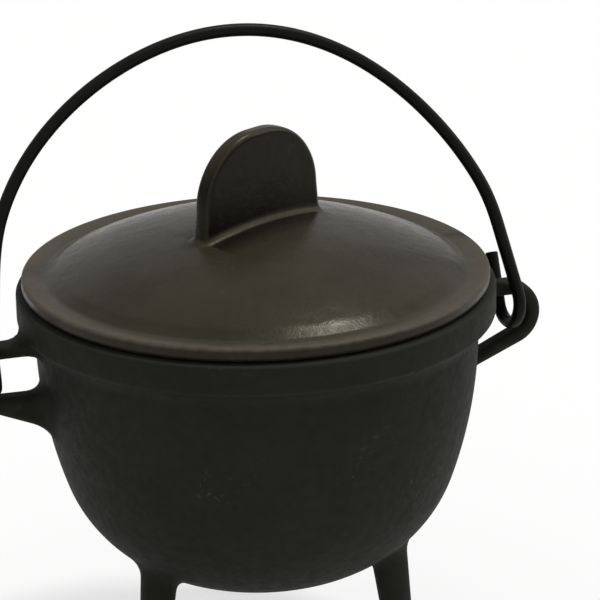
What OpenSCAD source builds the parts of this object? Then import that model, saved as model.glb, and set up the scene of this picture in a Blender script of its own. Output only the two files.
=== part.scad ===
// Cast iron cauldron: a round-bottomed pot on three legs, a loose domed lid
// with an upright tab grip, and a round wire bail hooked through two cast ears.
// Millimetres. The origin is on the floor under the pot's axis, +Z is up, the
// ears lie on the X axis and the front of the pot faces -Y.

/* [Pot] */
// Outside depth of the bowl, from the rim's flat top to the lowest point
pot_depth = 134.1; // [115:0.1:155]
// Height of the bowl's lowest point above the floor
floor_gap = 38.9; // [25:0.1:60]
// Outside radius of the thick band around the rim
rim_r = 102.4; // [90:0.1:115]
// Height of the band around the rim
rim_band_h = 11; // [6:0.5:16]
// How far the band stands out from the belly under it
band_out = 7.5; // [3:0.5:9]
// Radius of the long, slightly bowed side of the bowl, seen in section
side_bow_r = 198; // [150:1:260]
// Radius of the turn from the side into the bottom, seen in section
turn_r = 63.6; // [50:0.1:70]
// Radius of the shallow bottom, seen in section
bottom_r = 119; // [105:1:150]
// Wall thickness of the bowl
wall_t = 4.5; // [3:0.5:7]
// Radius of the hollow under the rim band, seen in section
neck_hollow_r = 8; // [4:0.5:12]
// Radius of the band's rounded lower edge
band_edge_r = 3; // [1.5:0.5:5]
// Radius of the rim's rounded outer and inner edges
rim_edge_r = 1.5; // [0.5:0.25:2.5]

/* [Legs] */
// Distance of a leg's middle inside the belly's outside, level with the bowl's lowest point
leg_inset = 34.9; // [30:0.1:46]
// Radius of a leg at the floor
leg_foot_r = 5.5; // [4:0.1:8]
// Radius of a leg at its root in the bowl
leg_root_r = 8.6; // [7:0.1:10]
// Outward lean of a leg
leg_lean = 7; // [0:0.5:10]
// Turn of the set of three legs from the line square to the ears
leg_turn = -6; // [-15:1:15]

/* [Ears] */
// Thickness of an ear along Y
ear_t = 10; // [6:0.5:12]
// Depth of the upper arm's middle below the rim's flat top
ear_arm_drop = 16.9; // [15:0.1:22]
// Width of the metal in the upper arm and around the nose
ear_w = 6.4; // [5.5:0.1:7]
// Outside radius of the ear's round nose
ear_nose_r = 15; // [14.5:0.5:17]
// Distance from the rim's outside to the middle of the nose
ear_reach = 11.8; // [10:0.1:20]
// Slope of the ear's underside
ear_slope = 23; // [20:1:27]
// Slope of the hole's floor in the right ear
floor_slope_right = 25; // [0:1:26]
// Slope of the hole's floor in the left ear, whose lower arm is the heavier one
floor_slope_left = 1; // [0:1:26]
// Radius of the hollow that runs the upper arm into the rim
ear_root_r = 7; // [4:0.5:9]

/* [Lid] */
// How far the lid's edge lies inside the rim's outside
lid_set_in = 2.6; // [0:0.1:5]
// Height of the lid's edge
lid_edge_h = 6.25; // [5:0.05:10]
// Radius of the edge's rounded upper corner
lid_edge_r = 2.6; // [1:0.1:4]
// Width of the flat band and the rounded edge around the dome
lid_band_w = 11; // [8:0.5:16]
// Rise of the dome above the flat band
dome_rise = 20.8; // [12:0.1:26]
// Wall thickness of the lid
lid_t = 4.5; // [3:0.1:6]
// Gap between the lid and the rim
seat_gap = 0.3; // [0.1:0.05:0.6]
// Drop of the locating ring under the lid
ring_drop = 6; // [4:0.5:9]
// Width of the locating ring
ring_w = 4; // [3:0.5:5]
// Gap around the locating ring inside the pot's mouth
ring_gap = 1.5; // [0.6:0.1:2]

/* [Lid grip] */
// Half the grip's width under its round top
grip_half_w = 32.9; // [28:0.1:36]
// Height of the grip's top above the rim's flat top
grip_h = 67.3; // [55:0.1:75]
// Radius of the two round corners that make the grip's top
grip_r = 29.7; // [20:0.1:33]
// How far the grip's foot is wider than its top, on each side
grip_foot_out = 3; // [0:0.5:6]
// Thickness of the grip
grip_t = 8.2; // [6:0.1:12]
// Turn of the grip from the line of the ears
grip_turn = 27; // [0:1:180]
// Distance of the grip's middle from the lid's axis, along the grip
grip_shift = 1.8; // [-4:0.1:4]

/* [Bail] */
// Diameter of the bail wire
wire_d = 5.7; // [4:0.1:6]
// How much narrower the bail's round top is than its hooks, on each side
bail_inset = 3.2; // [2:0.1:6]
// Half angle of the bail's round top
bail_half_angle = 81.6; // [76:0.1:83]
// How much higher the bail's top stands above the ears than its own radius
bail_rise = 8.6; // [4:0.05:25]
// How far the hand-bent top waves in and out of round at its left end
wave_left = 0.9; // [0:0.05:1.5]
// How far the hand-bent top waves in and out of round at its right end
wave_right = 1.5; // [0:0.05:2.5]
// Angle from one crest of the wave to the next
wave_turn = 83; // [60:1:120]
// Angle of the crest beside the bail's top, to the right
wave_crest = 10; // [-20:1:20]
// Gap between the hook and the outer end of the ear's hole
hook_side_gap = 2.95; // [2:0.05:7]
// Radius of the small bend between the side of the bail and its hook
hook_bend_r = 19; // [12:0.5:24]
// Inward turn of each hook about the bail's side
hook_twist = 8; // [0:1:12]
// Gap between a hook and the ear, on each face of the ear
hook_play = 1.65; // [1:0.05:2]
// Gap between the hook's turn and the floor of the ear's hole
hook_floor_gap = 1.6; // [1:0.1:2.5]
// Height of the hook's free end above the ear's upper arm
hook_tip = 16.5; // [12:0.1:19]
// Backward lean of the bail from upright, as it stands
bail_lean = 25; // [0:0.1:40]
// Sideways shift of the bail in its ears, as it stands
bail_shift = -0.9; // [-1.5:0.1:1.5]

/* [Hidden] */
IRON = [0.16, 0.16, 0.15];
IRON_LID = [0.27, 0.26, 0.24];
IRON_WIRE = [0.10, 0.10, 0.10];
round_fn = 96;
leg_fn = 48;
// Sides of the wire, and steps around its hook, its small bend and its top
wire_sides = 12;
hook_steps = 9;
bend_steps = 2;
top_steps = 36;
// Share of the top's half angle over which the wave dies out at each end
wave_fade = 0.2;
// The belly, and the legs under it
belly_r = rim_r - band_out;
leg_place_r = belly_r - leg_inset;
// Heights above the floor
rim_z = floor_gap + pot_depth;
pivot_z = rim_z - ear_arm_drop;
// The S-shaped neck between the band and the belly
neck_angle = acos(1 - (rim_r - belly_r) / (neck_hollow_r + band_edge_r));
neck_h = (neck_hollow_r + band_edge_r) * sin(neck_angle);
belly_z = rim_z - rim_band_h - neck_h;
// Centres of the three arcs of the bowl's section, each tangent to the next
bottom_c = [0, floor_gap + bottom_r];
side_c = [belly_r - side_bow_r, belly_z];
turn_c = meet(bottom_c, bottom_r - turn_r, side_c, side_bow_r - turn_r);
bottom_end_a = heading(bottom_c, turn_c) - 360;
side_end_a = heading(side_c, turn_c) - 360;
mouth_r = belly_r - wall_t;
// Height of a leg's root, inside the bowl's wall
leg_root_h = floor_gap + leg_root_r * 3;
// Lid heights and radii
lid_r = rim_r - lid_set_in;
dome_foot_r = lid_r - lid_band_w;
lid_z = rim_z + seat_gap;
band_z = lid_z + lid_edge_h;
dome_r = (dome_foot_r * dome_foot_r + dome_rise * dome_rise) / (2 * dome_rise);
dome_c = [0, band_z + dome_rise - dome_r];
ring_r = mouth_r - ring_gap;
// Ear heights, measured from the upper arm's middle
arm_top = ear_w / 2;
hole_r = ear_nose_r - ear_w;
nose = [rim_r + ear_reach, arm_top - ear_nose_r];
// Hook sizes, from the ear's hole and thickness
hook_x = nose[0] + hole_r - wire_d / 2 - hook_side_gap;
hook_w = ear_t + wire_d + 2 * hook_play;
hook_hang = hole_r - nose[1] - hook_floor_gap - wire_d / 2 - hook_w / 2;
// The bail's round top, its straight flare and the small bend into the hook
bail_r = hook_x - bail_inset;
bail_h = bail_r + bail_rise;
flare = 90 - bail_half_angle;
bail_side = [bail_r * sin(bail_half_angle), bail_h - bail_r * (1 - cos(bail_half_angle))];
bend_start_x = hook_x - hook_bend_r * (1 - cos(flare));
side_len = (bend_start_x - bail_side[0]) / sin(flare);
bend_start = bail_side + side_len * [sin(flare), -cos(flare)];
bend_c = bend_start - hook_bend_r * [cos(flare), sin(flare)];

// Points on an arc about c, from angle a0 to a1, in n steps
function arc(c, r, a0, a1, n) =
    [for (i = [0:n]) let (a = a0 * (1 - i / n) + a1 * i / n) c + r * [cos(a), sin(a)]];
// Compass heading from p to q, 0 to 360
function heading(p, q) = (atan2(q[1] - p[1], q[0] - p[0]) + 360) % 360;
// The outer of the two points at distance ra from a and rb from b
function meet(a, ra, b, rb) =
    let (d = norm(b - a), u = (b - a) / d, s = (ra * ra - rb * rb + d * d) / (2 * d),
         h = sqrt(ra * ra - s * s))
    a + s * u + h * [-u[1], u[0]];

// Outside of the bowl's section, from the bottom up to the belly, set in by inset
function bowl_side(inset) = concat(
    arc(bottom_c, bottom_r - inset, -90, bottom_end_a, 8),
    arc(turn_c, turn_r - inset, bottom_end_a, side_end_a, 12),
    arc(side_c, side_bow_r - inset, side_end_a, 0, 8));

// Outside of the neck and the band, from the belly up to the rim's top edge
function neck_side() = concat(
    arc([belly_r + neck_hollow_r, belly_z], neck_hollow_r, 180, 180 - neck_angle, 5),
    arc([rim_r - band_edge_r, rim_z - rim_band_h], band_edge_r, -neck_angle, 0, 3),
    arc([rim_r - rim_edge_r, rim_z - rim_edge_r], rim_edge_r, 0, 90, 3));

// The bowl as a solid block, used to trim what is cast onto it
module bowl_block() {
    rotate_extrude($fn = round_fn)
        polygon(concat(bowl_side(0), neck_side(), [[0, rim_z]]));
}

module pot_bowl() {
    color(IRON)
    difference() {
        bowl_block();
        rotate_extrude($fn = round_fn)
            polygon(concat(bowl_side(wall_t),
                arc([mouth_r + rim_edge_r, rim_z - rim_edge_r], rim_edge_r, 180, 90, 3),
                [[mouth_r + rim_edge_r, rim_z + 1], [0, rim_z + 1]]));
    }
}

// Outline of an ear in the X-Z plane, with z measured from the upper arm's middle
module ear_outline(floor_slope) {
    inner_x = mouth_r;
    out_low = nose + ear_nose_r * [sin(ear_slope), -cos(ear_slope)];
    hole_low = nose + hole_r * [sin(floor_slope), -cos(floor_slope)];
    difference() {
        polygon(concat(
            [[inner_x, arm_top + ear_root_r]],
            arc([rim_r + ear_root_r, arm_top + ear_root_r], ear_root_r, 180, 270, 5),
            arc(nose, ear_nose_r, 90, ear_slope - 90, 14),
            [[inner_x, out_low[1] - (out_low[0] - inner_x) * tan(ear_slope)]]));
        polygon(concat(
            [[inner_x, -arm_top]],
            arc(nose, hole_r, 90, floor_slope - 90, 12),
            [[inner_x, hole_low[1] - (hole_low[0] - inner_x) * tan(floor_slope)]]));
    }
}

// An ear on the +X side
module ear(floor_slope) {
    color(IRON)
    difference() {
        translate([0, ear_t / 2, pivot_z])
            rotate([90, 0, 0])
                linear_extrude(ear_t)
                    ear_outline(floor_slope);
        bowl_block();
    }
}

module ear_right() {
    ear(floor_slope_right);
}

module ear_left() {
    mirror([1, 0, 0])
        ear(floor_slope_left);
}

// A leg at the given compass angle: a tapered round post, let into the bowl at
// its top and cut flat at the floor
module leg(angle) {
    slant = cos(leg_lean);
    taper = (leg_root_r - leg_foot_r) / (leg_root_h / slant);
    below = leg_foot_r / slant;
    color(IRON)
    difference() {
        rotate([0, 0, angle])
            translate([leg_place_r - (leg_root_h - floor_gap) * tan(leg_lean), 0, leg_root_h])
                rotate([0, 180 - leg_lean, 0])
                    cylinder(h = leg_root_h / slant + below,
                             r1 = leg_root_r, r2 = leg_foot_r - taper * below, $fn = leg_fn);
        bowl_block();
        translate([0, 0, -below * 2])
            cylinder(h = below * 2, r = rim_r * 2, $fn = leg_fn);
    }
}

module leg_back() {
    leg(90 + leg_turn);
}

module leg_front_left() {
    leg(210 + leg_turn);
}

module leg_front_right() {
    leg(330 + leg_turn);
}

// Outside of the lid's section from the axis out to the foot of the edge
function lid_top() = concat(
    arc(dome_c, dome_r, 90, 90 - asin(dome_foot_r / dome_r), 14),
    arc([lid_r - lid_edge_r, band_z - lid_edge_r], lid_edge_r, 90, 0, 4));

// The lid as a solid block, used to trim the grip
module lid_block() {
    rotate_extrude($fn = round_fn)
        polygon(concat(lid_top(), [[lid_r, lid_z], [0, lid_z]]));
}

module lid_cover() {
    hollow_r = ring_r - ring_w;
    under_a = asin(hollow_r / (dome_r - lid_t));
    color(IRON_LID)
    rotate_extrude($fn = round_fn)
        polygon(concat(
            lid_top(),
            [[lid_r, lid_z], [ring_r, lid_z], [ring_r, rim_z - ring_drop],
             [hollow_r, rim_z - ring_drop]],
            arc(dome_c, dome_r - lid_t, 90 - under_a, 90, 14)));
}

module lid_grip() {
    foot_h = band_z - rim_z;
    foot_half = grip_half_w + grip_foot_out;
    corner = [grip_half_w - grip_r, grip_h - grip_r];
    color(IRON_LID)
    difference() {
        rotate([0, 0, grip_turn])
            translate([grip_shift, grip_t / 2, rim_z])
                rotate([90, 0, 0])
                    linear_extrude(grip_t)
                        polygon(concat(
                            arc(corner, grip_r, 0, 90, 12),
                            arc([-corner[0], corner[1]], grip_r, 90, 180, 12),
                            [[-foot_half, foot_h], [foot_half, foot_h]]));
        lid_block();
    }
}

// A ring of points around a place p on the wire, between the directions n and b
function wire_ring(p, n, b) =
    [for (k = [0:wire_sides - 1])
        let (a = 360 * k / wire_sides)
        p + wire_d / 2 * (cos(a) * n + sin(a) * b)];

// How far the round top lies outside its circle at angle a from the bail's middle
function wave(a) =
    let (share = (a / bail_half_angle + 1) / 2,
         fade = max(0, abs(a / bail_half_angle) - 1 + wave_fade) / wave_fade)
    (wave_left + (wave_right - wave_left) * share) * cos(360 * (a - wave_crest) / wave_turn)
        * pow(cos(90 * fade), 2);

// A place on the left hook at height z, reach behind the bail's side, where the
// wire has turned by a, with its two directions square to the wire
function hook_station(reach, z, a) =
    let (s = sin(hook_twist), c = cos(hook_twist), n = [-c, s, 0], b = [cos(a) * s, cos(a) * c, -sin(a)])
    [[-hook_x + reach * s, reach * c - hook_w / 2, z], c * n + s * b, c * b - s * n];

// Places along the left hook, from its free end to the foot of the round top
function hook_stations() = concat(
    [hook_station(hook_w, hook_tip, 0)],
    [for (i = [0:hook_steps])
        let (a = 180 * i / hook_steps)
        hook_station(hook_w * (1 + cos(a)) / 2, -hook_hang - hook_w / 2 * sin(a), a)],
    [for (i = [0:bend_steps])
        let (a = flare * i / bend_steps, n = [-cos(a), 0, sin(a)])
        [[-bend_c[0], -hook_w / 2, bend_c[1]] + hook_bend_r * n, n, [0, -1, 0]]]);

// Places along the round top, from the left to the right
function top_stations() =
    [for (i = [0:top_steps])
        let (a = bail_half_angle * (2 * i / top_steps - 1), n = [sin(a), 0, cos(a)])
        [[0, -hook_w / 2, bail_h - bail_r] + (bail_r + wave(a)) * n, n, [0, -1, 0]]];

// A place on the left hook, seen in a mirror across the pot's middle
function mirrored(s) = [for (v = s) [-v[0], v[1], v[2]]];

module bail() {
    left = hook_stations();
    right = [for (i = [len(left) - 1:-1:0]) mirrored(left[i])];
    stations = concat(left, top_stations(), right);
    last = len(stations) - 1;
    color(IRON_WIRE)
    translate([bail_shift, 0, pivot_z])
        rotate([-bail_lean, 0, 0])
            polyhedron(
                points = [for (s = stations) each wire_ring(s[0], s[1], s[2])],
                faces = concat(
                    [[for (k = [0:wire_sides - 1]) k]],
                    [for (i = [0:last - 1], k = [0:wire_sides - 1])
                        let (next = (k + 1) % wire_sides)
                        [i * wire_sides + k, (i + 1) * wire_sides + k,
                         (i + 1) * wire_sides + next, i * wire_sides + next]],
                    [[for (k = [wire_sides - 1:-1:0]) last * wire_sides + k]]));
}

pot_bowl();
ear_left();
ear_right();
leg_back();
leg_front_left();
leg_front_right();
lid_cover();
lid_grip();
bail();
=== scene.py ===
import math

import bmesh
import bpy
import numpy as np
from mathutils import Matrix, Vector


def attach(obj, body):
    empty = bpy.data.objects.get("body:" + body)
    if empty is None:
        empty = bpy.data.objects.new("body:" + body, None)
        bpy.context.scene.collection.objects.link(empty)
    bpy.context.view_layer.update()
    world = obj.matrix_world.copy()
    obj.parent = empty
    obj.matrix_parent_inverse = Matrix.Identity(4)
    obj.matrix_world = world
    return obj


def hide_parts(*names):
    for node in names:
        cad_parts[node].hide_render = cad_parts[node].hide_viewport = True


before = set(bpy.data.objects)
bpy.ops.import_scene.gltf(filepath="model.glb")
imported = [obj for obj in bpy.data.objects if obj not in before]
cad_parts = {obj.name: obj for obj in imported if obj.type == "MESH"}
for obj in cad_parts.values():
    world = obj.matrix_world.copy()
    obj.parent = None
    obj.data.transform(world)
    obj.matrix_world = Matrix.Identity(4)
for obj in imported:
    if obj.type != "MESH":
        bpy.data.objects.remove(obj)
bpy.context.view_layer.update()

# Camera
# It stands where the photograph's camera stood: a little to the left of the
# pot's front, looking down at the lid, with a long lens turned by a degree.
MM = 0.001
RIM_Z = 173.0
PHOTO_PIXELS = 600
camera_azimuth = math.radians(-16.61)
camera_elevation = math.radians(19.57)
camera_roll = math.radians(1.31)
camera_distance = 1329.9
focal_pixels = 3116.62
rim_centre_pixel = (256.42, 279.59)

back = Vector((math.sin(camera_azimuth) * math.cos(camera_elevation),
               -math.cos(camera_azimuth) * math.cos(camera_elevation),
               math.sin(camera_elevation)))
right = Vector((math.cos(camera_azimuth), math.sin(camera_azimuth), 0.0))
looking = Matrix((right, back.cross(right), back))
yaw = math.atan2(rim_centre_pixel[0] - PHOTO_PIXELS / 2, focal_pixels)
pitch = math.atan2(rim_centre_pixel[1] - PHOTO_PIXELS / 2, focal_pixels)
turned = (Matrix.Rotation(camera_roll, 3, "Z") @ Matrix.Rotation(-pitch, 3, "X")
          @ Matrix.Rotation(-yaw, 3, "Y") @ looking)
lens = bpy.data.cameras.new("photo_camera")
lens.lens = focal_pixels / PHOTO_PIXELS * lens.sensor_width
lens.clip_end = 50.0
camera = bpy.data.objects.new("photo_camera", lens)
place = turned.transposed().to_4x4()
place.translation = back * camera_distance * MM + Vector((0.0, 0.0, RIM_Z * MM))
camera.matrix_world = place
bpy.context.collection.objects.link(camera)
bpy.context.scene.camera = camera


# Floor
# A plain white paper floor, large enough to fill the view behind the pot. To the eye
# and in reflections a share of its white glows by itself, so that its shadows stay pale.
def linear(hex_colour):
    """The linear colour of an sRGB hex value."""
    shares = [int(hex_colour[i:i + 2], 16) / 255 for i in (1, 3, 5)]
    return [c / 12.92 if c <= 0.04045 else ((c + 0.055) / 1.055) ** 2.4 for c in shares] + [1.0]


def add_node(tree, kind, settings=None, inputs=None):
    """A new node with its settings made, and its inputs set or linked."""
    made = tree.nodes.new(kind)
    for name, value in (settings or {}).items():
        setattr(made, name, value)
    for key, value in (inputs or {}).items():
        if isinstance(value, bpy.types.NodeSocket):
            tree.links.new(value, made.inputs[key])
        else:
            made.inputs[key].default_value = value
    return made


def new_material(name):
    """A new material whose node tree is emptied, and that tree."""
    material = bpy.data.materials.new(name)
    material.use_nodes = True
    material.node_tree.nodes.clear()
    return material, material.node_tree


paper, tree = new_material("white_studio_paper")
paper_white = linear("#fdfdfc")
paper_glow = 0.6
matt = add_node(tree, "ShaderNodeBsdfDiffuse", {}, {"Color": paper_white})
glow = add_node(tree, "ShaderNodeEmission", {}, {"Color": linear("#ffffff"), "Strength": 1.0})
rays = add_node(tree, "ShaderNodeLightPath")
mirrored = add_node(tree, "ShaderNodeMath", {"operation": "MAXIMUM"},
                    {0: rays.outputs["Is Glossy Ray"], 1: rays.outputs["Is Transmission Ray"]})
looked_at = add_node(tree, "ShaderNodeMath", {"operation": "MAXIMUM"},
                     {0: rays.outputs["Is Camera Ray"], 1: mirrored.outputs["Value"]})
glow_share = add_node(tree, "ShaderNodeMath", {"operation": "MULTIPLY"},
                      {0: looked_at.outputs["Value"], 1: paper_glow})
lit_paper = add_node(tree, "ShaderNodeMixShader", {},
                     {0: glow_share.outputs["Value"], 1: matt.outputs["BSDF"],
                      2: glow.outputs["Emission"]})
add_node(tree, "ShaderNodeOutputMaterial", {}, {"Surface": lit_paper.outputs["Shader"]})
floor_half = 4.0
floor_mesh = bpy.data.meshes.new("studio_floor")
floor_mesh.from_pydata([(-floor_half, -floor_half, 0), (floor_half, -floor_half, 0),
                        (floor_half, floor_half, 0), (-floor_half, floor_half, 0)],
                       [], [(0, 1, 2, 3)])
floor_mesh.materials.append(paper)
studio_floor = bpy.data.objects.new("studio_floor", floor_mesh)
bpy.context.collection.objects.link(studio_floor)

# Light
# Soft plain studio light: an even pale room, one broad lamp above the pot and a
# little to its right that lights the lid, and a weak one low down on the right.
room_strength = 0.57
room = bpy.data.worlds.new("studio_room")
room.use_nodes = True
room_light = room.node_tree.nodes["Background"]
room_light.inputs["Color"].default_value = linear("#ffffff")
room_light.inputs["Strength"].default_value = room_strength
bpy.context.scene.world = room


def far_lamp(name, strength, spread, towards):
    """A far lamp shining from one direction, its shadows softened by its spread in degrees."""
    data = bpy.data.lights.new(name, "SUN")
    data.energy = strength
    data.angle = math.radians(spread)
    lamp = bpy.data.objects.new(name, data)
    lamp.rotation_euler = Vector(towards).to_track_quat("Z", "Y").to_euler()
    bpy.context.collection.objects.link(lamp)


far_lamp("broad_lamp", strength=1.33, spread=10, towards=(0.362, 0.075, 0.925))
far_lamp("side_lamp", strength=0.44, spread=25, towards=(0.9, -0.1, 0.42))
bpy.context.scene.view_settings.view_transform = "Standard"

# Pot
# One iron casting: a round-bottomed bowl with a thick rim band, two looped
# ears and three tapered legs, all run into each other with small hollows.
floor_gap = 38.9
rim_r = 102.36
rim_band_h = 11.0
belly_r = 94.9
side_bow_r = 198.0
turn_r = 63.6
bottom_r = 119.0
wall_t = 4.5
neck_hollow_r = 8.0
band_edge_r = 3.0
rim_edge_r = 1.5
around_bowl = 288


def arc(centre, radius, start, end, steps):
    """Points along an arc about a centre, from one angle to another in degrees."""
    turn = np.radians(np.linspace(start, end, steps + 1))
    return np.stack([centre[0] + radius * np.cos(turn), centre[1] + radius * np.sin(turn)], 1)


def heading(start, end):
    """The direction from one point to another, in degrees."""
    return math.degrees(math.atan2(end[1] - start[1], end[0] - start[0]))


def meet(first, first_r, second, second_r):
    """The outer of the two points at given distances from two centres."""
    first, second = np.array(first, float), np.array(second, float)
    apart = np.linalg.norm(second - first)
    along = (second - first) / apart
    reach = (first_r ** 2 - second_r ** 2 + apart ** 2) / (2 * apart)
    side = math.sqrt(first_r ** 2 - reach ** 2)
    return first + reach * along + side * np.array([-along[1], along[0]])


neck_angle = math.degrees(math.acos(1 - (rim_r - belly_r) / (neck_hollow_r + band_edge_r)))
neck_h = (neck_hollow_r + band_edge_r) * math.sin(math.radians(neck_angle))
belly_z = RIM_Z - rim_band_h - neck_h
bottom_c = (0.0, floor_gap + bottom_r)
side_c = (belly_r - side_bow_r, belly_z)
turn_c = meet(bottom_c, bottom_r - turn_r, side_c, side_bow_r - turn_r)
bottom_end = heading(bottom_c, turn_c)
side_end = heading(side_c, turn_c)
mouth_r = belly_r - wall_t


def bowl_side(inset):
    """The bowl's section from the bottom up to the belly, set in by inset."""
    return np.concatenate([
        arc(bottom_c, bottom_r - inset, -90, bottom_end, 20),
        arc(turn_c, turn_r - inset, bottom_end, side_end, 36)[1:],
        arc(side_c, side_bow_r - inset, side_end, 0, 20)[1:]])


bowl_outside = np.concatenate([
    bowl_side(0),
    arc([belly_r + neck_hollow_r, belly_z], neck_hollow_r, 180, 180 - neck_angle, 8)[1:],
    arc([rim_r - band_edge_r, RIM_Z - rim_band_h], band_edge_r, -neck_angle, 0, 8),
    arc([rim_r - rim_edge_r, RIM_Z - rim_edge_r], rim_edge_r, 0, 90, 6)])
bowl_inside = np.concatenate([
    bowl_side(wall_t),
    arc([mouth_r + rim_edge_r, RIM_Z - rim_edge_r], rim_edge_r, 180, 90, 6)])


def spun(section, steps):
    """Points and faces of a section turned about the Z axis, with its ends on the axis."""
    turn = 2 * math.pi * np.arange(steps) / steps
    inner = section[1:-1]
    points = [(0.0, 0.0, section[0, 1])]
    for r, z in inner:
        points += [(r * math.cos(a), r * math.sin(a), z) for a in turn]
    points.append((0.0, 0.0, section[-1, 1]))
    rows = len(inner)
    last = len(points) - 1
    faces = []
    for k in range(steps):
        after = (k + 1) % steps
        faces.append((0, 1 + after, 1 + k))
        for row in range(rows - 1):
            low = 1 + row * steps
            high = low + steps
            faces.append((low + k, low + after, high + after, high + k))
        top = 1 + (rows - 1) * steps
        faces.append((last, top + k, top + after))
    return np.array(points), faces


def section_distance(section):
    """A function giving how far points lie outside a turned section, negative within it."""
    start, step = section[:-1], np.diff(section, axis=0)
    length = (step ** 2).sum(1)

    def outside(points):
        flat = np.stack([np.hypot(points[..., 0], points[..., 1]), points[..., 2]], -1)
        away = flat[..., None, :] - start
        share = np.clip((away * step).sum(-1) / length, 0, 1)
        gap = away - share[..., None] * step
        far = np.hypot(gap[..., 0], gap[..., 1])
        side = np.sign(step[:, 1] * away[..., 0] - step[:, 0] * away[..., 1])
        near = far.argmin(-1)[..., None]
        return (np.take_along_axis(far, near, -1) * np.take_along_axis(side, near, -1))[..., 0]
    return outside


def slope(distance, points):
    """The direction in which a distance grows at each point."""
    small = 0.02
    steps = [(distance(points + small * axis) - distance(points - small * axis)) / (2 * small)
             for axis in np.eye(3)]
    return np.stack(steps, -1)


def unit(vectors):
    """The same vectors with a length of one."""
    return vectors / np.maximum(np.linalg.norm(vectors, axis=-1, keepdims=True), 1e-9)


# A limb's rings run into the ground that it is cast on. Each half of the hollow has this
# many rows, its ends included, and a meeting flatter than the least slopes counts as
# that steep. The rows are dropped on to the ground and settled into the hollow in rounds.
hollow_rows = 9
least_dip = 0.3
least_spread = 0.35
drop_rounds = 3
settle_rounds = 6
least_steepness = 0.2
# The last row goes a little past the hollow and is sunk in the ground. One more ring
# lies deeper, this share of the way out to it from where the bare limb meets the ground.
hollow_overrun = 1.04
sunk_edge = 0.03
buried_depth = 1.6
buried_share = 0.35


def landed(rings, ground, limb, hollow):
    """Rings along a cast-on limb that end in the ground, run into it with a hollow."""
    def joined(points):
        g, a = ground(points), limb(points)
        near = np.clip(1 - np.abs(g - a) / hollow, 0, None)
        return np.minimum(g, a) - near ** 2 * hollow / 4

    stations, around = rings.shape[:2]
    height = ground(rings)
    steps = np.linalg.norm(np.diff(rings, axis=0), axis=2)
    travel = np.concatenate([np.zeros((1, around)), np.cumsum(steps, 0)])
    foot_travel = np.zeros(around)
    start_travel = np.zeros(around)
    for k in range(around):
        inside = int(np.argmax(height[:, k] < 0))
        before, after = height[inside - 1, k], height[inside, k]
        share = before / (before - after)
        foot_travel[k] = travel[inside - 1, k] + share * steps[inside - 1, k]
        dip = (before - after) / steps[inside - 1, k]
        start_travel[k] = foot_travel[k] - hollow / max(dip, least_dip)
    kept = max(int(np.argmax((travel >= start_travel).any(1))), 1)

    def along(distance_along):
        point = np.zeros((around, 3))
        for k in range(around):
            for axis in range(3):
                point[k, axis] = np.interp(distance_along[k], travel[:, k], rings[:, k, axis])
        return point

    foot = along(foot_travel)
    up = unit(slope(ground, foot))
    outward = slope(limb, foot)
    outward -= (outward * up).sum(-1, keepdims=True) * up
    spread = hollow / np.maximum(np.linalg.norm(outward, axis=-1), least_spread) * hollow_overrun
    outward = unit(outward)
    rows = [along(travel[kept - 1] + (foot_travel - travel[kept - 1]) * share)
            for share in np.linspace(0, 1, hollow_rows)[1:-1]]
    for share in np.linspace(0, 1, hollow_rows)[1:]:
        row = foot + outward * (spread * share)[:, None]
        for _ in range(drop_rounds):
            row = row - ground(row)[:, None] * unit(slope(ground, row))
        rows.append(row)
    blended = np.array(rows)
    for _ in range(settle_rounds):
        way = slope(joined, blended)
        steepness = np.maximum((way ** 2).sum(-1), least_steepness)
        blended = blended - (joined(blended) / steepness)[..., None] * way
    blended[-1] -= sunk_edge * unit(slope(ground, blended[-1]))
    buried = blended[-1] * buried_share + foot * (1 - buried_share) - buried_depth * up
    return np.concatenate([rings[:kept], blended, buried[None]])


def skinned(rings):
    """Points and faces of a tube through rings, closed at both ends."""
    stations, around = rings.shape[:2]
    points = [tuple(p) for ring in rings for p in ring]
    faces = []
    for s in range(stations - 1):
        for k in range(around):
            after = (k + 1) % around
            faces.append((s * around + k, s * around + after,
                          (s + 1) * around + after, (s + 1) * around + k))
    for s, backwards in ((0, True), (stations - 1, False)):
        points.append(tuple(rings[s].mean(0)))
        for k in range(around):
            after = (k + 1) % around
            pair = (s * around + k, s * around + after)
            faces.append((len(points) - 1,) + (pair[::-1] if backwards else pair))
    return np.array(points), faces


# Points closer than the first are one point. Faces that meet at more than the second
# keep a sharp edge between them.
MERGE_WITHIN = 0.002
SHARP_FROM = 38.0


def add_piece(name, shells, material, wear_and_painted_light_at):
    """One smooth mesh object, in metres, from shells of points and faces in millimetres."""
    points, faces = [], []
    for shell_points, shell_faces in shells:
        faces += [tuple(i + len(points) for i in face) for face in shell_faces]
        points += [tuple(MM * c for c in p) for p in shell_points]
    mesh = bpy.data.meshes.new(name)
    mesh.from_pydata(points, [], faces)
    mesh.validate()
    mesh.materials.append(material)
    # Each point's wear, which also carries painted highlights and painted shade.
    wear_and_painted_light = mesh.attributes.new("wear_and_painted_light", "FLOAT", "POINT")
    wear_and_painted_light.data.foreach_set("value", np.clip(wear_and_painted_light_at(np.array(points) / MM), -1, 1))
    return finished(name, mesh)


def finished(name, mesh):
    """An object from a mesh with its doubles merged, its faces outwards and its curves smooth."""
    body = bmesh.new()
    body.from_mesh(mesh)
    bmesh.ops.remove_doubles(body, verts=body.verts, dist=MERGE_WITHIN * MM)
    bmesh.ops.recalc_face_normals(body, faces=body.faces)
    body.to_mesh(mesh)
    body.free()
    mesh.polygons.foreach_set("use_smooth", [True] * len(mesh.polygons))
    mesh.set_sharp_from_angle(angle=math.radians(SHARP_FROM))
    piece = bpy.data.objects.new(name, mesh)
    bpy.context.collection.objects.link(piece)
    return piece


bowl_ground = section_distance(bowl_outside)
wall = spun(np.concatenate([bowl_outside, bowl_inside[::-1]]), around_bowl)

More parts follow.
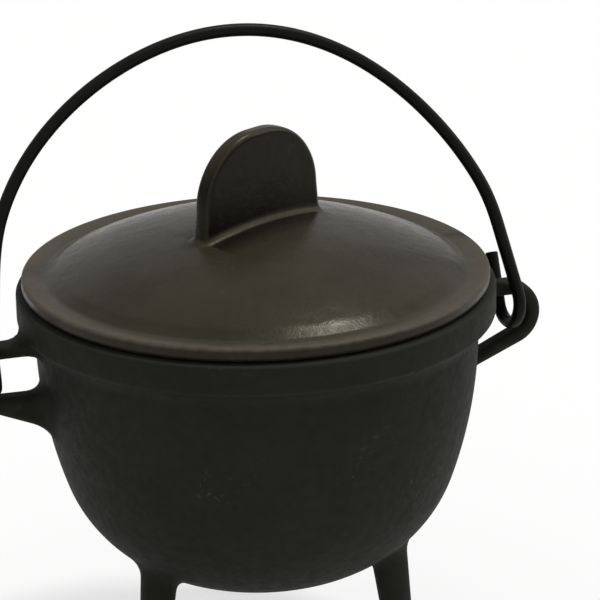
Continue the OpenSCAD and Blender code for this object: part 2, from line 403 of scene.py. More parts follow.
# A leg: a round tapered post, cast on to the bowl's underside, leaning out a little.
# It ends flat on the floor, with a slightly rounded edge.
leg_place_r = 60.0
leg_foot_r = 5.5
leg_root_r = 8.6
leg_lean = 7.0
leg_turn = -6.0
leg_root_h = floor_gap + leg_root_r * 3
leg_hollow = 5.0
leg_top_h = floor_gap + 45
leg_first_ring = 2.0
leg_ring_step = 0.8
points_around_leg = 48
foot_edge = 0.9
foot_edge_turns = np.radians([0, 30, 60, 90])


def leg(angle):
    """A leg's rings from the floor up into the bowl, and how far points lie outside it."""
    heading_out = np.array([math.cos(math.radians(angle)), math.sin(math.radians(angle)), 0.0])
    lean = math.tan(math.radians(leg_lean))

    def middle(z):
        return (leg_place_r + (floor_gap - z) * lean)[..., None] * heading_out

    def radius(z):
        return leg_foot_r + (leg_root_r - leg_foot_r) * z / leg_root_h

    def outside(points):
        z = points[..., 2]
        gap = points - middle(z)
        return np.hypot(gap[..., 0], gap[..., 1]) - radius(z)

    heights = [foot_edge * (1 - math.cos(a)) for a in foot_edge_turns]
    narrow = [foot_edge * (1 - math.sin(a)) for a in foot_edge_turns]
    heights += list(np.arange(leg_first_ring, leg_top_h, leg_ring_step))
    narrow += [0.0] * (len(heights) - len(narrow))
    turn = 2 * np.pi * np.arange(points_around_leg) / points_around_leg
    circle = np.stack([np.cos(turn), np.sin(turn), np.zeros(points_around_leg)], 1)
    rings = []
    for z, less in zip(heights, narrow):
        centre = middle(np.array(z)) + np.array([0, 0, z])
        rings.append(centre + circle * (radius(z) - less))
    return np.array(rings), outside


limbs = []
for angle in (90, 210, 330):
    rings, outside = leg(angle + leg_turn)
    limbs.append(skinned(landed(rings, bowl_ground, outside, leg_hollow)))

# An ear: a flat loop with rounded edges, cast on at the neck. Its upper arm is level
# and its lower arm slopes back into the bowl. The left one's hole has a level floor.
ear_t = 10.0
ear_arm_drop = 16.9
ear_w = 6.4
ear_nose_r = 15.0
ear_reach = 11.84
ear_slope = 23.0
floor_slopes = {1: 25.0, -1: 1.0}
ear_edge_r = 2.9
ear_hollow = 8.0
ear_start_x = 88.0
ear_ring_step = 0.7
nose_rings = 40
low_arm_rings = 45
edge_steps = 5
side_points = 5
# An edge's radius is at most this share of half the width or thickness.
roundest = 0.98
pivot_z = RIM_Z - ear_arm_drop
hole_r = ear_nose_r - ear_w
nose = np.array([rim_r + ear_reach, pivot_z + ear_w / 2 - ear_nose_r])


def rounded_loop(half_wide, half_thick, edge_r):
    """Points around a rounded rectangle, counter-clockwise from its right side."""
    edge_r = min(edge_r, half_wide * roundest, half_thick * roundest)
    corners = []
    for quarter, (x, y) in enumerate(((1, 1), (-1, 1), (-1, -1), (1, -1))):
        centre = [x * (half_wide - edge_r), y * (half_thick - edge_r)]
        corners.append(arc(centre, edge_r, quarter * 90, quarter * 90 + 90, edge_steps))
        side_start = corners[-1][-1]
        following = ((-1, 1), (-1, -1), (1, -1), (1, 1))[quarter]
        turn = math.radians(quarter * 90 + 90)
        side_end_point = np.array([following[0] * (half_wide - edge_r) + edge_r * math.cos(turn),
                                   following[1] * (half_thick - edge_r) + edge_r * math.sin(turn)])
        corners.append(np.linspace(side_start, side_end_point, side_points)[1:-1])
    return np.concatenate(corners)


def half_plane(point, direction):
    """How far flat points lie to the right of a line."""
    normal = np.array([direction[1], -direction[0]]) / np.hypot(*direction)
    return lambda flat: (flat - point) @ normal


def ear_shell(side):
    """The skin of the ear on the given side of the pot."""
    floor_slope = math.radians(floor_slopes[side])
    under_slope = math.radians(ear_slope)
    arm = np.arange(ear_start_x, nose[0], ear_ring_step)
    outer = [np.array([x, nose[1] + ear_nose_r]) for x in arm]
    inner = [np.array([x, nose[1] + hole_r]) for x in arm]
    turn_out = np.radians(np.linspace(90, ear_slope - 90, nose_rings))
    turn_in = np.radians(np.linspace(90, floor_slopes[side] - 90, nose_rings))
    outer += [nose + ear_nose_r * np.array([math.cos(a), math.sin(a)]) for a in turn_out]
    inner += [nose + hole_r * np.array([math.cos(a), math.sin(a)]) for a in turn_in]
    out_end, in_end = outer[-1], inner[-1]
    for share in np.linspace(0, 1, low_arm_rings)[1:]:
        reach_out = (out_end[0] - ear_start_x) * share
        reach_in = (in_end[0] - ear_start_x) * share
        outer.append(out_end - reach_out * np.array([1, math.tan(under_slope)]))
        inner.append(in_end - reach_in * np.array([1, math.tan(floor_slope)]))
    rings = []
    for out, inn in zip(outer, inner):
        middle = (out + inn) / 2
        wide = np.linalg.norm(out - inn)
        across = (out - inn) / wide
        loop = rounded_loop(wide / 2, ear_t / 2, ear_edge_r)
        flat = middle + loop[:, :1] * across
        rings.append(np.stack([side * flat[:, 0], loop[:, 1], flat[:, 1]], 1))
    rings = np.array(rings)

    def arm_distance(lines):
        def outside(points):
            flat = np.stack([side * points[..., 0], points[..., 2]], -1)
            deep = np.maximum(lines[0](flat), lines[1](flat)) + ear_edge_r
            thick = np.abs(points[..., 1]) - ear_t / 2 + ear_edge_r
            beyond = np.hypot(np.maximum(deep, 0), np.maximum(thick, 0))
            return beyond + np.minimum(np.maximum(deep, thick), 0) - ear_edge_r
        return outside

    upper = arm_distance([half_plane(nose + [0, ear_nose_r], (-1, 0)),
                          half_plane(nose + [0, hole_r], (1, 0))])
    lower = arm_distance([half_plane(out_end, (math.cos(under_slope), math.sin(under_slope))),
                          half_plane(in_end, (-math.cos(floor_slope), -math.sin(floor_slope)))])
    middle_ring = len(arm) + nose_rings // 2
    top_half = landed(rings[:middle_ring][::-1], bowl_ground, upper, ear_hollow)
    low_half = landed(rings[middle_ring:], bowl_ground, lower, ear_hollow)
    return skinned(np.concatenate([top_half[::-1], low_half]))


limbs += [ear_shell(1), ear_shell(-1)]

# How strongly hands, lid and bail have rubbed the rim and the ears, how far from the
# edge that reaches, and how far outside the rim the ears' rubbing starts. The rim's
# rubbed line is also a painted highlight along its outer corner.
rim_rub_and_highlight = 0.6
rim_rub_and_highlight_w = 1.5
ear_rub = 0.5
ear_rub_w = 1.5
ear_clear = 3.0


def pot_wear_and_highlight(points):
    """How rubbed the pot is: on the rim's outer corner, also as a painted highlight there, and on the
    ears' outer edges.
    """
    corner = np.hypot(np.hypot(points[:, 0], points[:, 1]) - rim_r, points[:, 2] - RIM_Z)
    flat = np.stack([np.abs(points[:, 0]), points[:, 2]], 1)
    out = np.hypot(*(flat - nose).T) - ear_nose_r
    side = np.abs(points[:, 1]) - ear_t / 2
    edge = np.where(flat[:, 0] > rim_r + ear_clear, np.hypot(out, side), np.inf)
    # The rim's line is rubbed, and also painted as a highlight.
    rim = rim_rub_and_highlight * (1 - corner / rim_rub_and_highlight_w)
    return np.maximum(np.maximum(rim, ear_rub * (1 - edge / ear_rub_w)), 0.0)


# Seasoned cast iron, for the lid too: sand-cast grey iron under a baked black oil skin,
# which hides the metal. The sand mould leaves fine grain and slow waves, and use leaves
# pale dust on top, greyer rubbed edges and a few scuffs. The pale tops are also painted
# light from above. Where the pieces' points say so, greyer places are painted highlights
# and dustless places are painted shade. The mould's sand is about 0.3 mm fine, and is
# drawn as coarse as it needs to show.
SAND_GRAIN = 1.1
SAND_GRAIN_DEPTH = 0.05
MOULD_PIT = 4.0
MOULD_PIT_DEPTH = 0.12
MOULD_WAVE = 26.0
MOULD_WAVE_DEPTH = 0.5
SCUFF_LENGTH = 3.0
SCUFF_CLUSTER = 48.0
SCUFF_PATTERN = 1.0
SCUFF_STRENGTH = 0.5
SCUFF_GREY = "#4a4a44"
RUB_DULLS = 0.35
# Dust, with painted light from above, lies on faces that look up by more than the first share, in full
# from the second.
DUST_AND_TOP_LIGHT_FROM = 0.35
DUST_AND_TOP_LIGHT_FULL = 0.9
# Nearly all values of a noise lie between these two.
NOISE_MIDDLE = {"From Min": 0.3, "From Max": 0.7}


def cast_iron(name, dark, pale, dust_and_top_light, rub_and_highlight, smooth, rough, shine, tint):
    """Seasoned cast iron in two tones, dusty and painted lighter on top, and worn as the piece's own
    points say.

    Their attribute goes from -1, painted shade with the dust left off, to 1, grey and dull, which is
    rubbing and painted highlight."""
    material, tree = new_material(name)
    where = add_node(tree, "ShaderNodeTexCoord").outputs["Object"]
    wave = add_node(tree, "ShaderNodeTexNoise", {},
                    {"Vector": where, "Scale": 1 / (MOULD_WAVE * MM), "Detail": 2.0})
    pits = add_node(tree, "ShaderNodeTexNoise", {},
                    {"Vector": where, "Scale": 1 / (MOULD_PIT * MM), "Detail": 3.0})
    grain = add_node(tree, "ShaderNodeTexNoise", {},
                     {"Vector": where, "Scale": 1 / (SAND_GRAIN * MM), "Detail": 2.0})
    tone = add_node(tree, "ShaderNodeMix", {"data_type": "RGBA"},
                    {"Factor": wave.outputs["Fac"], "A": linear(dark), "B": linear(pale)})
    facing = add_node(tree, "ShaderNodeNewGeometry")
    upward = add_node(tree, "ShaderNodeSeparateXYZ", {}, {"Vector": facing.outputs["Normal"]})
    mottled = add_node(tree, "ShaderNodeMapRange", {},
                       {**NOISE_MIDDLE, "Value": wave.outputs["Fac"],
                        "To Min": 0.78, "To Max": 1.08})
    # Faces that look up take the pale dust colour, which also paints in the light that falls from
    # above.
    lying = add_node(tree, "ShaderNodeMapRange", {},
                     {"Value": upward.outputs["Z"], "From Min": DUST_AND_TOP_LIGHT_FROM, "From Max": DUST_AND_TOP_LIGHT_FULL,
                      "To Max": mottled.outputs["Result"]})
    wear_and_painted_light = add_node(tree, "ShaderNodeAttribute", {"attribute_name": "wear_and_painted_light"})
    # Below zero the attribute marks painted shade, where the dust is left off.
    outside_painted_shade = add_node(tree, "ShaderNodeMapRange", {},
                         {"Value": wear_and_painted_light.outputs["Fac"], "From Min": -1.0, "From Max": 0.0})
    dust_and_top_light_share = add_node(tree, "ShaderNodeMath", {"operation": "MULTIPLY"},
                       {0: lying.outputs["Result"], 1: outside_painted_shade.outputs["Result"]})
    dusted_and_top_lit = add_node(tree, "ShaderNodeMix", {"data_type": "RGBA"},
                    {"Factor": dust_and_top_light_share.outputs["Value"], "A": tone.outputs["Result"],
                     "B": linear(dust_and_top_light)})
    patchy = add_node(tree, "ShaderNodeMapRange", {},
                      {**NOISE_MIDDLE, "Value": pits.outputs["Fac"],
                       "To Min": 0.55, "To Max": 1.0})
    # Above zero it marks rubbed wear and painted highlights, greyer and duller.
    rubbing_and_highlight = add_node(tree, "ShaderNodeMath", {"operation": "MULTIPLY", "use_clamp": True},
                       {0: wear_and_painted_light.outputs["Fac"], 1: patchy.outputs["Result"]})
    coat = add_node(tree, "ShaderNodeMix", {"data_type": "RGBA"},
                    {"Factor": rubbing_and_highlight.outputs["Value"], "A": dusted_and_top_lit.outputs["Result"],
                     "B": linear(rub_and_highlight)})
    marks = add_node(tree, "ShaderNodeTexNoise", {},
                     {"Vector": where, "Scale": 1 / (SCUFF_LENGTH * MM), "Detail": 5.0,
                      "Roughness": 0.65, "Distortion": 0.5})
    clusters = add_node(tree, "ShaderNodeTexNoise", {"noise_dimensions": "4D"},
                        {"Vector": where, "W": SCUFF_PATTERN, "Scale": 1 / (SCUFF_CLUSTER * MM),
                         "Detail": 1.0})
    sparse = add_node(tree, "ShaderNodeMapRange", {},
                      {"Value": marks.outputs["Fac"], "From Min": 0.58, "From Max": 0.7})
    gathered = add_node(tree, "ShaderNodeMapRange", {},
                        {"Value": clusters.outputs["Fac"], "From Min": 0.55, "From Max": 0.64,
                         "To Max": SCUFF_STRENGTH})
    scuff = add_node(tree, "ShaderNodeMath", {"operation": "MULTIPLY"},
                     {0: sparse.outputs["Result"], 1: gathered.outputs["Result"]})
    scuffed = add_node(tree, "ShaderNodeMix", {"data_type": "RGBA"},
                       {"Factor": scuff.outputs["Value"], "A": coat.outputs["Result"],
                        "B": linear(SCUFF_GREY)})
    sheen = add_node(tree, "ShaderNodeMapRange", {},
                     {**NOISE_MIDDLE, "Value": pits.outputs["Fac"],
                      "To Min": smooth, "To Max": rough})
    dulled = add_node(tree, "ShaderNodeMath", {"operation": "MULTIPLY_ADD", "use_clamp": True},
                      {0: rubbing_and_highlight.outputs["Value"], 1: RUB_DULLS, 2: sheen.outputs["Result"]})
    waves = add_node(tree, "ShaderNodeBump", {},
                     {"Height": wave.outputs["Fac"], "Distance": MOULD_WAVE_DEPTH * MM,
                      "Strength": 1.0})
    hollows = add_node(tree, "ShaderNodeBump", {},
                       {"Height": pits.outputs["Fac"], "Distance": MOULD_PIT_DEPTH * MM,
                        "Strength": 1.0, "Normal": waves.outputs["Normal"]})
    sand = add_node(tree, "ShaderNodeBump", {},
                    {"Height": grain.outputs["Fac"], "Distance": SAND_GRAIN_DEPTH * MM,
                     "Strength": 1.0, "Normal": hollows.outputs["Normal"]})
    skin = add_node(tree, "ShaderNodeBsdfPrincipled", {},
                    {"Base Color": scuffed.outputs["Result"], "Roughness": dulled.outputs["Value"],
                     "Specular IOR Level": shine, "Specular Tint": linear(tint),
                     "Normal": sand.outputs["Normal"]})
    add_node(tree, "ShaderNodeOutputMaterial", {}, {"Surface": skin.outputs["BSDF"]})
    return material


pot_iron = cast_iron("seasoned_pot_iron", "#171814", "#20211c", "#262621", "#34332d",
                     0.62, 0.76, 0.12, "#fdfff0")
pot_casting = add_piece("pot_casting", [wall] + limbs, pot_iron, pot_wear_and_highlight)
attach(pot_casting, "pot")
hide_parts("pot_bowl", "ear_left", "ear_right", "leg_back", "leg_front_left",
            "leg_front_right")

# Lid
# One iron casting that lies loose on the rim, where a ring below keeps it in place.
# Its shallow dome steps down to an outer band, which rises a little to the edge.
seat_gap = 0.3
rim_shows = 2.6
lid_edge_h = 6.25
lid_edge_r = 1.8
lid_under_r = 2.6
lid_band_w = 11.0
dome_rise = 20.8
dome_end_r = 83.5
step_foot_r = 89.4
shoulder_r = 22.0
dome_hollow_r = 4.0
band_tilt = math.radians(8)
lid_t = 4.5
ring_drop = 6.0
ring_w = 4.0
ring_gap = 1.5
ring_bevel = 1.0
lid_r = rim_r - rim_shows
lid_z = RIM_Z + seat_gap
band_z = lid_z + lid_edge_h
dome_foot_r = lid_r - lid_band_w
dome_r = (dome_foot_r ** 2 + dome_rise ** 2) / (2 * dome_rise)
dome_c = np.array([0.0, band_z + dome_rise - dome_r])
ring_r = mouth_r - ring_gap
hollow_r = ring_r - ring_w
ring_low_z = RIM_Z - ring_drop


def rounded(before, corner, after, radius, steps):
    """Points along the arc that rounds the corner between two other points."""
    ways = unit(np.array([before - corner, after - corner]))
    half = math.acos(ways[0] @ ways[1]) / 2
    centre = corner + unit(ways.sum(0)) * radius / math.sin(half)
    ends = corner + ways * radius / math.tan(half)
    start, end = heading(centre, ends[0]), heading(centre, ends[1])
    return arc(centre, radius, start, start + (end - start + 180) % 360 - 180, steps)


# The dome steps down at its foot to the band's inner side. Both corners of the step
# are rounded, and the band rises from it to its outer corner. The dome's arc ends
# this many degrees before the step, where the upper rounding takes over.
shoulder_room = 0.9
dome_end = math.asin(dome_end_r / dome_r)
step_top = dome_c + dome_r * np.array([math.sin(dome_end), math.cos(dome_end)])
before_step = step_top + np.array([-math.cos(dome_end), math.sin(dome_end)])
edge_c = np.array([lid_r - lid_edge_r, band_z - lid_edge_r])
band_end = edge_c + lid_edge_r * np.array([-math.sin(band_tilt), math.cos(band_tilt)])
step_foot = np.array([step_foot_r, band_end[1] - (band_end[0] - step_foot_r) * math.tan(band_tilt)])
under_end = math.degrees(math.acos(hollow_r / (dome_r - lid_t)))
lid_section = np.concatenate([
    arc(dome_c, dome_r, 90, 90 - math.degrees(dome_end) + shoulder_room, 60),
    rounded(before_step, step_top, step_foot, shoulder_r, 6),
    rounded(step_top, step_foot, band_end, dome_hollow_r, 8),
    arc(edge_c, lid_edge_r, 90 + math.degrees(band_tilt), 0, 8),
    arc([lid_r - lid_under_r, lid_z + lid_under_r], lid_under_r, 0, -90, 5),
    [[ring_r, lid_z], [ring_r, ring_low_z + ring_bevel], [ring_r - ring_bevel, ring_low_z],
     [hollow_r + ring_bevel, ring_low_z], [hollow_r, ring_low_z + ring_bevel]],
    arc(dome_c, dome_r - lid_t, under_end, 90, 30)])
lid_shell = spun(lid_section, around_bowl)

# The grip: an upright plate cast on to the dome, with two round corners, rounded
# edges and a slightly wider foot. It stands turned on the lid.
grip_half_w = 32.9
grip_h = 67.3
grip_r = 29.7
grip_foot_out = 3.0
grip_t = 8.2
grip_edge_r = 2.6
grip_turn = math.radians(27)
grip_shift = 1.8
grip_hollow = 3.5
grip_low_z = band_z + 4
grip_ring_step = 0.8
grip_corner_rings = 34
grip_quarter_points = 25
grip_top_turn = 88.5
corner_x = grip_half_w - grip_r
corner_z = RIM_Z + grip_h - grip_r


def side_half(z):
    """Half the grip's width at a height below its round corners."""
    return grip_half_w + grip_foot_out * np.clip((corner_z - z) / (corner_z - band_z), 0, 1)


def grip_rings():
    """Level rings around the grip, from its top down into the dome."""
    flat_edge = grip_t / 2 - grip_edge_r
    rings = []
    for rise in np.radians(np.linspace(grip_top_turn, 0, grip_corner_rings)):
        rings.append((corner_x + grip_r * math.cos(rise), corner_z + grip_r * math.sin(rise)))
    for z in np.arange(corner_z - grip_ring_step, grip_low_z, -grip_ring_step):
        rings.append((side_half(z), z))
    made = []
    for half, z in rings:
        turn = np.radians(np.linspace(0, 90, grip_quarter_points))
        x = half * np.cos(turn)
        if z > corner_z:
            depth = grip_r - np.hypot(np.maximum(x - corner_x, 0), z - corner_z)
        else:
            depth = half - x
        depth = np.clip(depth, 0, grip_edge_r)
        y = flat_edge + np.sqrt(np.maximum(grip_edge_r ** 2 - (grip_edge_r - depth) ** 2, 0))
        quarter = np.concatenate([[[half, 0.0]], np.stack([x, y], 1)])
        left = quarter[:-1][::-1] * [-1, 1]
        near = quarter[1:][::-1] * [1, -1]
        ring = np.concatenate([quarter, left, quarter[1:-1] * [-1, -1], near])
        made.append(np.concatenate([ring, np.full((len(ring), 1), z)], 1))
    made = np.array(made)
    made[..., 0] += grip_shift
    return turned_grip(made)


def turned_grip(points):
    """Points of the grip turned about the lid's axis."""
    c, s = math.cos(grip_turn), math.sin(grip_turn)
    return np.stack([points[..., 0] * c - points[..., 1] * s,
                     points[..., 0] * s + points[..., 1] * c, points[..., 2]], -1)


def grip_outside(points):
    """How far points near the dome lie outside the grip."""
    c, s = math.cos(grip_turn), math.sin(grip_turn)
    x = np.abs(points[..., 0] * c + points[..., 1] * s - grip_shift)
    x = x - side_half(points[..., 2]) + grip_edge_r
    y = np.abs(points[..., 1] * c - points[..., 0] * s) - grip_t / 2 + grip_edge_r
    beyond = np.hypot(np.maximum(x, 0), np.maximum(y, 0))
    return beyond + np.minimum(np.maximum(x, y), 0) - grip_edge_r


def dome_outside(points):
    """How far points lie outside the dome's sphere."""
    return np.linalg.norm(points - [0, 0, dome_c[1]], axis=-1) - dome_r


grip_shell = skinned(landed(grip_rings(), dome_outside, grip_outside, grip_hollow))

# The rubbed band, painted lighter also for the reflection it shows: where it starts inside
# the step's foot, how soon it is in full, and how it fades down the lid's edge face to the
# least share, which keeps the edge face painted lighter down to the dark seam.
band_rub_and_reflection_in = 2.0
band_rub_and_reflection_w = 7.0
edge_fade_h = 1.6
edge_fade_start = 1.3
edge_face_rub_and_light = 0.2
# The painted highlight line along the grip's edges, and the painted highlight in the hollow at its
# foot; both are drawn rubbed and dull too.
line_highlight = 0.3
line_in = 1.1
line_w = 0.48
line_above = 2.0
foot_highlight = 0.9
foot_highlight_w = 2.7
# The painted shade on the dome beside the grip, where its dust is left off: its share at the
# grip, its reach and its most, and how near the dome it stays. Rubbing and painted highlight below the
# least share count as none.
painted_shade_start = 1.3
painted_shade_w = 13.0
painted_shade_most = 0.85
painted_shade_above = 1.0
least_rub_and_highlight = 0.02


def lid_wear_and_painted_light(points):
    """How rubbed and painted with highlights the lid is, and below 0 how deep its painted shade beside
    the grip is.
    """
    out = np.hypot(points[:, 0], points[:, 1])
    # The band is rubbed, and painted lighter also for the reflection it shows.
    band = np.clip((out - step_foot_r + band_rub_and_reflection_in) / band_rub_and_reflection_w, 0, 1)
    fading = (points[:, 2] - band_z) / edge_fade_h + edge_fade_start
    band = band * np.clip(fading, edge_face_rub_and_light, 1)
    c, s = math.cos(grip_turn), math.sin(grip_turn)
    x = np.abs(points[:, 0] * c + points[:, 1] * s - grip_shift)
    y = np.abs(points[:, 1] * c - points[:, 0] * s)
    bow = grip_r - np.hypot(np.maximum(x - corner_x, 0), np.maximum(points[:, 2] - corner_z, 0))
    depth = np.where(points[:, 2] > corner_z, bow, side_half(points[:, 2]) - x)
    edge = np.hypot(depth, grip_t / 2 - y)
    away, above = grip_outside(points), dome_outside(points)
    # Painted highlights along the grip's edges and in the hollow at its foot.
    line = np.where(above > line_above, line_highlight * (1 - np.abs(edge - line_in) / line_w), 0.0)
    foot = foot_highlight * (1 - np.hypot(away, above) / foot_highlight_w)
    # Painted shade beside the grip: the dome there loses its dust and turns darker.
    painted_shade = np.where(x < grip_half_w, np.clip(painted_shade_start - away / painted_shade_w, 0, painted_shade_most), 0.0)
    painted_shade = np.where((above < painted_shade_above) & (out < dome_end_r), painted_shade, 0.0)
    rub_and_highlight = np.maximum(np.maximum(band, line), np.maximum(foot, 0.0))
    return np.where(rub_and_highlight > least_rub_and_highlight, rub_and_highlight, -painted_shade)


# The lid's pale dust colour also paints the light from above, and its rubbed colour also paints
# highlights.
lid_iron = cast_iron("seasoned_lid_iron", "#0a0907", "#120f0b", "#333025", "#534d43",
                     0.24, 0.32, 0.147, "#fff6dc")
lid_casting = add_piece("lid_casting", [lid_shell, grip_shell], lid_iron, lid_wear_and_painted_light)
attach(lid_casting, "lid")
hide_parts("lid_cover", "lid_grip")

# Bail
# One length of round drawn wire, bent cold into a hoop over a form, flared
# and hooked at both ends through the ears, and blacked like the pot.
wire_d = 5.7
hook_side_gap = 2.95
hook_play = 1.65
hook_floor_gap = 1.6
hook_tip = 16.5
hook_bend_r = 19.0
hook_twist = math.radians(8)
bail_inset = 3.2
bail_half_angle = 81.6
bail_rise = 8.6
bail_lean = math.radians(25.0)
bail_shift = -0.9
# The hand-bent hoop is out of round by a wave of this size at its left and right end.
wave_left = 0.9
wave_right = 1.5
wave_turn = 83.0
wave_crest = 10.0
wave_fade = 0.2
# The wire is drawn this much thinner, so that it stays inside its solid's box.
wire_margin = 0.06
wire_r = wire_d / 2 - wire_margin
wire_end_edge = 0.6
wire_sides = 24
hoop_points = 145
hook_points = 25
tip_points = 8
drop_points = 5
bend_points = 6
hook_x = nose[0] + hole_r - wire_d / 2 - hook_side_gap
hook_w = ear_t + wire_d + 2 * hook_play
nose_h = ear_w / 2 - ear_nose_r
hook_hang = hole_r - nose_h - hook_floor_gap - wire_d / 2 - hook_w / 2
bail_r = hook_x - bail_inset
bail_h = bail_r + bail_rise
flare = 90 - bail_half_angle


def out_of_round(angle):
    """How far the hoop lies outside its circle at an angle from its middle."""
    share = (angle / bail_half_angle + 1) / 2
    fade = max(0.0, abs(angle / bail_half_angle) - 1 + wave_fade) / wave_fade
    size = wave_left + (wave_right - wave_left) * share
    return (size * math.cos(math.radians(360 * (angle - wave_crest) / wave_turn))
            * math.cos(math.radians(90 * fade)) ** 2)


def bail_path():
    """The wire's middle from one hook's free end to the other's."""
    start_x = hook_x - hook_bend_r * (1 - math.cos(math.radians(flare)))
    side = np.array([bail_r * math.sin(math.radians(bail_half_angle)),
                     bail_h - bail_r * (1 - math.cos(math.radians(bail_half_angle)))])
    length = (start_x - side[0]) / math.sin(math.radians(flare))
    down = np.array([math.sin(math.radians(flare)), -math.cos(math.radians(flare))])
    bend_start = side + length * down
    bend_c = bend_start - hook_bend_r * np.array([math.cos(math.radians(flare)),
                                                  math.sin(math.radians(flare))])
    hook = [(hook_w / 2, z) for z in np.linspace(hook_tip, -hook_hang, tip_points)[:-1]]
    hook += [(hook_w / 2 * math.cos(a), -hook_hang - hook_w / 2 * math.sin(a))
             for a in np.radians(np.linspace(0, 180, hook_points))]
    left = [(-hook_x + (y + hook_w / 2) * math.sin(hook_twist),
             -hook_w / 2 + (y + hook_w / 2) * math.cos(hook_twist), z) for y, z in hook]
    left += [(-hook_x, -hook_w / 2, z)
             for z in np.linspace(-hook_hang, bend_c[1], drop_points)[1:-1]]
    left += [(-(bend_c[0] + hook_bend_r * math.cos(a)), -hook_w / 2,
              bend_c[1] + hook_bend_r * math.sin(a))
             for a in np.radians(np.linspace(0, flare, bend_points))]
    top = []
    for angle in np.linspace(-bail_half_angle, bail_half_angle, hoop_points):
        radius = bail_r + out_of_round(angle)
        top.append((radius * math.sin(math.radians(angle)), -hook_w / 2,
                    bail_h - bail_r + radius * math.cos(math.radians(angle))))
    rest = [(-x, y, z) for x, y, z in left[::-1]]
    path = np.array(left + top + rest)
    c, s = math.cos(bail_lean), math.sin(bail_lean)
    return np.stack([path[:, 0] + bail_shift, path[:, 1] * c + path[:, 2] * s,
                     pivot_z - path[:, 1] * s + path[:, 2] * c], 1)


def bent_wire_tree():
    """A node tree that draws a round wire along a line of edges, and its inputs."""
    tree = bpy.data.node_groups.new("bent_wire", "GeometryNodeTree")
    inputs = {}
    for name, kind in (("Wire line", "NodeSocketGeometry"), ("Wire radius", "NodeSocketFloat"),
                       ("Sides", "NodeSocketInt"), ("Finish", "NodeSocketMaterial")):
        inputs[name] = tree.interface.new_socket(name, in_out="INPUT", socket_type=kind).identifier
    tree.interface.new_socket("Wire", in_out="OUTPUT", socket_type="NodeSocketGeometry")
    given = add_node(tree, "NodeGroupInput")
    line = add_node(tree, "GeometryNodeMeshToCurve", {}, {"Mesh": given.outputs["Wire line"]})
    share = add_node(tree, "GeometryNodeInputNamedAttribute", {"data_type": "FLOAT"},
                     {"Name": "share_of_radius"})
    section = add_node(tree, "GeometryNodeCurvePrimitiveCircle", {"mode": "RADIUS"},
                       {"Resolution": given.outputs["Sides"], "Radius": given.outputs["Wire radius"]})
    drawn = add_node(tree, "GeometryNodeCurveToMesh", {},
                     {"Curve": line.outputs["Curve"], "Profile Curve": section.outputs["Curve"],
                      "Scale": share.outputs["Attribute"], "Fill Caps": True})
    real = add_node(tree, "GeometryNodeRealizeInstances", {}, {"Geometry": drawn.outputs["Mesh"]})
    blacked = add_node(tree, "GeometryNodeSetMaterial", {},
                       {"Geometry": real.outputs["Geometry"], "Material": given.outputs["Finish"]})
    add_node(tree, "NodeGroupOutput", {}, {"Wire": blacked.outputs["Geometry"]})
    return tree, inputs


# Real drawing marks are about 0.1 mm fine, and are drawn as coarse as they need to show.
WIRE_PATCH = 9.0
WIRE_GRAIN = 0.9
WIRE_GRAIN_DEPTH = 0.03
WIRE_BLACK = "#0a0a09"
WIRE_WORN = "#13130e"


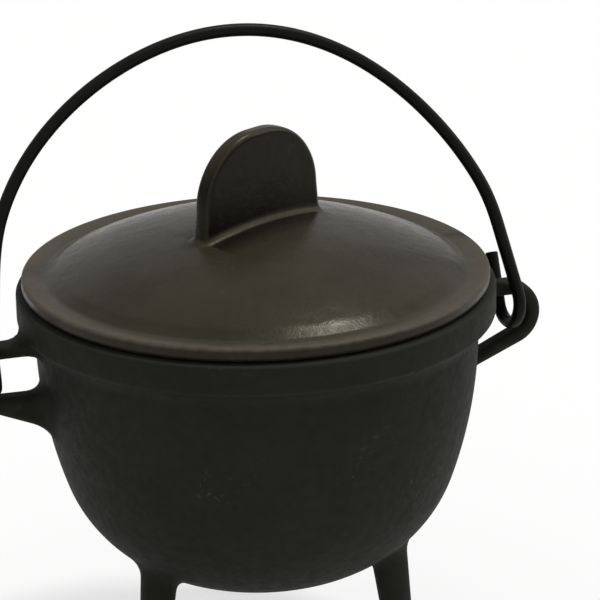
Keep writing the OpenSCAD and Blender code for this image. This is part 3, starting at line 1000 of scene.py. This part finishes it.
def blacked_wire():
    """Drawn steel wire, blacked: smoother and blacker than the castings, its sheen in patches."""
    material, tree = new_material("blacked_steel_wire")
    where = add_node(tree, "ShaderNodeTexCoord").outputs["Object"]
    patches = add_node(tree, "ShaderNodeTexNoise", {},
                       {"Vector": where, "Scale": 1 / (WIRE_PATCH * MM), "Detail": 3.0})
    grain = add_node(tree, "ShaderNodeTexNoise", {},
                     {"Vector": where, "Scale": 1 / (WIRE_GRAIN * MM), "Detail": 2.0})
    tone = add_node(tree, "ShaderNodeMix", {"data_type": "RGBA"},
                    {"Factor": patches.outputs["Fac"], "A": linear(WIRE_BLACK), "B": linear(WIRE_WORN)})
    sheen = add_node(tree, "ShaderNodeMapRange", {},
                     {**NOISE_MIDDLE, "Value": patches.outputs["Fac"],
                      "To Min": 0.36, "To Max": 0.52})
    bumps = add_node(tree, "ShaderNodeBump", {},
                     {"Height": grain.outputs["Fac"], "Distance": WIRE_GRAIN_DEPTH * MM,
                      "Strength": 1.0})
    skin = add_node(tree, "ShaderNodeBsdfPrincipled", {},
                    {"Base Color": tone.outputs["Result"], "Roughness": sheen.outputs["Result"],
                     "Specular IOR Level": 0.11, "Normal": bumps.outputs["Normal"]})
    add_node(tree, "ShaderNodeOutputMaterial", {}, {"Surface": skin.outputs["BSDF"]})
    return material


# The cut ends of the wire are filed round: its radius falls off over the last bit.
wire_path = bail_path()
edge_turn = np.radians(np.linspace(0, 90, 5))
start_way = unit(wire_path[1] - wire_path[0])
end_way = unit(wire_path[-2] - wire_path[-1])
lead_in = [wire_path[0] + start_way * wire_end_edge * (1 - math.sin(a)) for a in edge_turn]
lead_out = [wire_path[-1] + end_way * wire_end_edge * (1 - math.sin(a)) for a in edge_turn]
end_shares = [1 - wire_end_edge / wire_r * (1 - math.cos(a)) for a in edge_turn]
whole_path = np.array(lead_in[::-1] + list(wire_path[1:-1]) + lead_out)
shares = end_shares[::-1] + [1.0] * (len(wire_path) - 2) + end_shares
line_mesh = bpy.data.meshes.new("bail_line")
line_mesh.from_pydata([tuple(MM * c for c in p) for p in whole_path],
                      [(i, i + 1) for i in range(len(whole_path) - 1)], [])
line_mesh.attributes.new("share_of_radius", "FLOAT", "POINT").data.foreach_set("value", shares)
bail_line = bpy.data.objects.new("bail_line", line_mesh)
bpy.context.collection.objects.link(bail_line)
wire_tree, wire_inputs = bent_wire_tree()
drawing = bail_line.modifiers.new("bent_wire", "NODES")
drawing.node_group = wire_tree
drawing[wire_inputs["Wire radius"]] = wire_r * MM
drawing[wire_inputs["Sides"]] = wire_sides
drawing[wire_inputs["Finish"]] = blacked_wire()
drawn_line = bail_line.evaluated_get(bpy.context.evaluated_depsgraph_get())
wire_mesh = bpy.data.meshes.new_from_object(drawn_line)
bpy.data.objects.remove(bail_line)
bail_wire = finished("bail_wire", wire_mesh)
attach(bail_wire, "bail")
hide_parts("bail")
